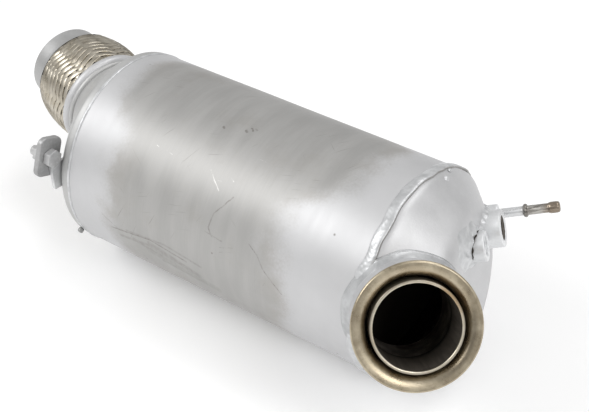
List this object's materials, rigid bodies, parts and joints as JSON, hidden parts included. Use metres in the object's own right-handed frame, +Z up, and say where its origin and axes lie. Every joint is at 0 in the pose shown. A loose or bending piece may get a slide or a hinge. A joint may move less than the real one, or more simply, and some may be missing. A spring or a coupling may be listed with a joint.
{
  "type": "diesel particulate filter",
  "caption": "Diesel particulate filter: welded steel can with slanted inlet dome, bell-mouth flange, sensor bosses, pressure pipe and a braided flexible outlet.",
  "frame": {"origin": "centre of the inlet flange's mouth, on the inlet pipe's axis", "axes": "+X along the can's axis towards its inlet end, +Z up, +Y to the side away from the inlet pipe"},
  "size_m": [0.4733, 0.2039, 0.159],
  "materials": {
    "bare_steel": "brushed, heat-dulled",
    "sprayed_steel": "heat-resistant silver spray",
    "weld_bead": "rippled weld metal",
    "tinted_flange": "straw heat tint",
    "sooted_liner": "sooted",
    "boss_steel": "silver spray over turned steel",
    "pipe_steel": "drawn tube",
    "catalyst_ceramic": "matt",
    "filter_ceramic": "matt",
    "mat_fibre": "felted",
    "bellows_steel": "formed sheet",
    "braid_wire": "woven wire",
    "outlet_steel": "satin",
    "bracket_steel": "silver spray",
    "bolt_steel": "dull zinc"
  },
  "bodies": {
    "root": {"canister_shell": "bare_steel", "inlet_dome": "sprayed_steel", "inlet_neck": "sprayed_steel", "outlet_cone": "sprayed_steel", "flex_collar": "sprayed_steel", "inlet_seam_weld": "weld_bead", "outlet_seam_weld": "weld_bead", "boss_welds": "weld_bead", "inlet_flange": "tinted_flange", "inlet_liner": "sooted_liner", "gas_sensor_boss": "boss_steel", "temperature_sensor_boss": "boss_steel", "pressure_pipe_boss": "boss_steel", "pressure_pipe": "pipe_steel", "catalyst_brick": "catalyst_ceramic", "filter_brick": "filter_ceramic", "catalyst_mat": "mat_fibre", "filter_mat": "mat_fibre", "flex_bellows": "bellows_steel", "flex_liner": "bellows_steel", "flex_braid": "braid_wire", "flex_end_cap": "outlet_steel", "outlet_pipe": "outlet_steel", "bracket_lug": "bracket_steel", "bracket_plate": "bracket_steel", "locating_pin": "bracket_steel", "bracket_bolt": "bolt_steel", "bracket_nut": "bolt_steel"}
  },
  "joints": []
}
